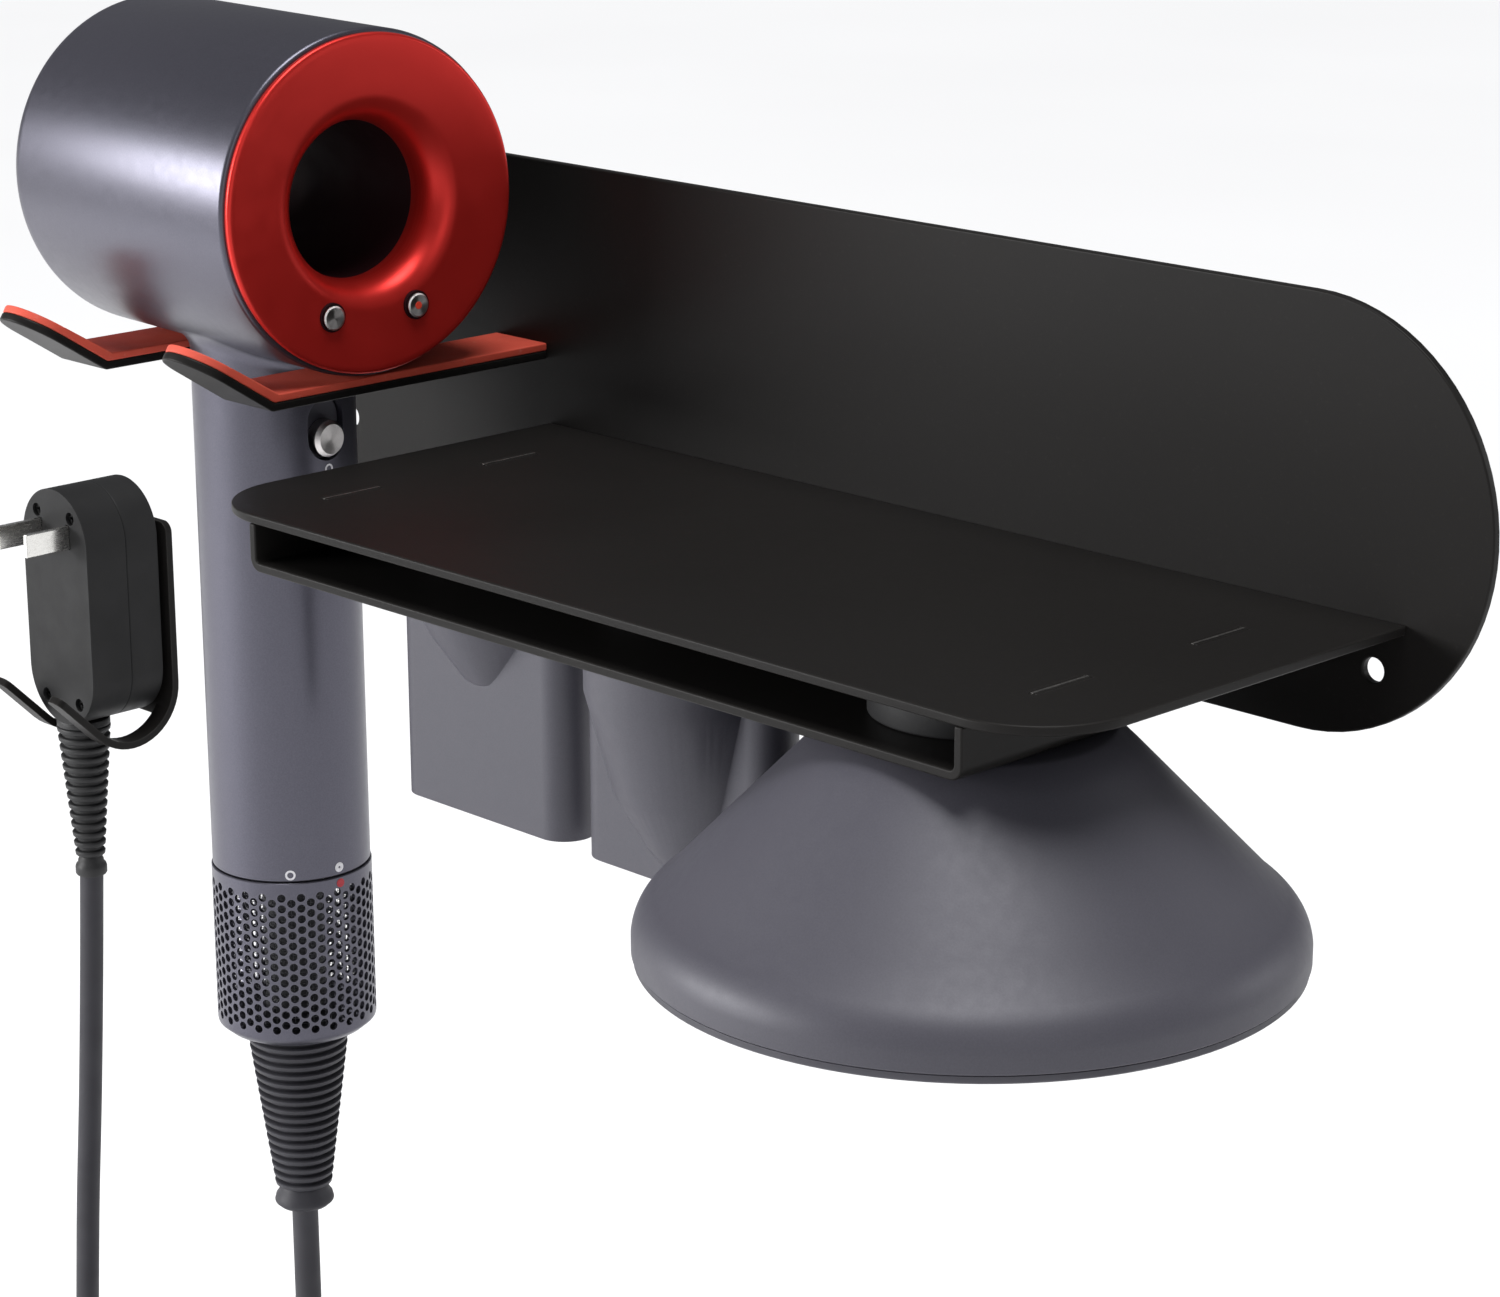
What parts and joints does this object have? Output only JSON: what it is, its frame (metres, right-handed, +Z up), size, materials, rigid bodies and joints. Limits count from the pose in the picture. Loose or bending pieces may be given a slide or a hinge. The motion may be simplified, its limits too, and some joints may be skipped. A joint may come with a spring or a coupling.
{
  "type": "wall-mounted hair dryer station",
  "caption": "Folded steel wall shelf with a forked cradle, magnet tray and plug hook, holding a ring-headed hair dryer, two nozzles, a diffuser and its lead.",
  "frame": {"origin": "midway between the two wall screw holes, on the back face of the wall plate", "axes": "+Z up, +Y into the wall, +X to the right for someone who faces the wall"},
  "size_m": [0.454, 0.1406, 0.4425],
  "materials": {
    "powder_steel": "satin",
    "silicone_pad": "matte",
    "rubber_black": "matte",
    "adhesive": "matte",
    "dryer_grey": "satin",
    "inlet_red": "satin metallic",
    "duct_dark": "semi gloss",
    "outlet_black": "satin",
    "magnet_steel": "plated",
    "heater_mica": "matte",
    "circuit_board": "satin",
    "spun_metal": "spun",
    "motor_metal": "machined",
    "copper_winding": "enamelled",
    "filter_mesh": "woven",
    "attachment_grey": "satin",
    "comb_grey": "satin",
    "plug_plastic": "fine texture",
    "plug_brass": "plated",
    "screw_black": "black oxide",
    "lead_rubber": "matte",
    "lead_black": "matte"
  },
  "bodies": {
    "root": {"back_plate": "powder_steel", "shelf_plate": "powder_steel", "tray_channel": "powder_steel", "tray_magnets": "rubber_black", "cradle_arm_left": "powder_steel", "cradle_arm_right": "powder_steel", "cradle_pad_left": "silicone_pad", "cradle_pad_right": "silicone_pad", "plug_bracket": "powder_steel", "bracket_tape": "adhesive", "lead_loop": "lead_rubber"},
    "dryer": {"head_shell": "dryer_grey", "inlet_ring": "inlet_red", "inner_duct": "duct_dark", "outlet_ring": "outlet_black", "outlet_magnets": "magnet_steel", "heater_ring": "heater_mica", "control_board": "circuit_board", "handle_tube": "dryer_grey", "switch_plate": "outlet_black", "motor_mount": "rubber_black", "motor_housing": "motor_metal", "motor_stator": "copper_winding", "motor_bearings": "magnet_steel", "filter_screen": "filter_mesh", "cord_gland": "outlet_black", "cord_boot": "lead_rubber", "dryer_lead": "lead_rubber", "lead_coil": "lead_rubber", "coil_tie": "rubber_black"},
    "speed_button": {"speed_button": "spun_metal"},
    "heat_button": {"heat_button": "spun_metal"},
    "power_switch": {"power_switch": "spun_metal"},
    "impeller": {"impeller": "motor_metal", "motor_shaft": "magnet_steel"},
    "filter_cage": {"filter_cage": "dryer_grey"},
    "wide_nozzle": {"wide_nozzle_body": "attachment_grey", "wide_nozzle_collar": "magnet_steel"},
    "smooth_nozzle": {"smooth_nozzle_body": "attachment_grey", "smooth_nozzle_collar": "magnet_steel"},
    "diffuser": {"diffuser_shell": "attachment_grey", "diffuser_comb": "comb_grey", "diffuser_collar": "magnet_steel"},
    "plug": {"plug_front_shell": "plug_plastic", "plug_back_shell": "plug_plastic", "plug_blades": "plug_brass", "plug_screws": "screw_black", "plug_board": "circuit_board", "plug_boot": "lead_black", "plug_lead": "lead_rubber"}
  },
  "joints": [
    {"name": "dryer_lift_off", "type": "slide", "parent": "root", "child": "dryer", "axis": [0, -0.8192, 0.5736], "range_m": [0, 0.08]},
    {"name": "speed_button_press", "type": "slide", "parent": "dryer", "child": "speed_button", "axis": [-0.9976, 0.0698, 0], "range_m": [0, 0.0012], "stiffness_N_per_m": 400},
    {"name": "heat_button_press", "type": "slide", "parent": "dryer", "child": "heat_button", "axis": [-0.9976, 0.0698, 0], "range_m": [0, 0.0012], "stiffness_N_per_m": 400},
    {"name": "power_switch_slide", "type": "slide", "parent": "dryer", "child": "power_switch", "axis": [0, 0, 1], "range_m": [0, 0.0045]},
    {"name": "impeller_spin", "type": "hinge", "parent": "dryer", "child": "impeller", "pos_m": [-0.1237, -0.0516, -0.08], "axis": [0, 0, 1], "continuous": true},
    {"name": "filter_cage_pull", "type": "slide", "parent": "dryer", "child": "filter_cage", "axis": [0, 0, -1], "range_m": [0, 0.03]},
    {"name": "wide_nozzle_pull_off", "type": "slide", "parent": "root", "child": "wide_nozzle", "axis": [0, 0, -1], "range_m": [0, 0.04]},
    {"name": "smooth_nozzle_pull_off", "type": "slide", "parent": "root", "child": "smooth_nozzle", "axis": [0, 0, -1], "range_m": [0, 0.04]},
    {"name": "diffuser_pull_off", "type": "slide", "parent": "root", "child": "diffuser", "axis": [0, 0, -1], "range_m": [0, 0.04]},
    {"name": "plug_lift_out", "type": "slide", "parent": "root", "child": "plug", "axis": [0, 0, 1], "range_m": [0, 0.02]}
  ]
}
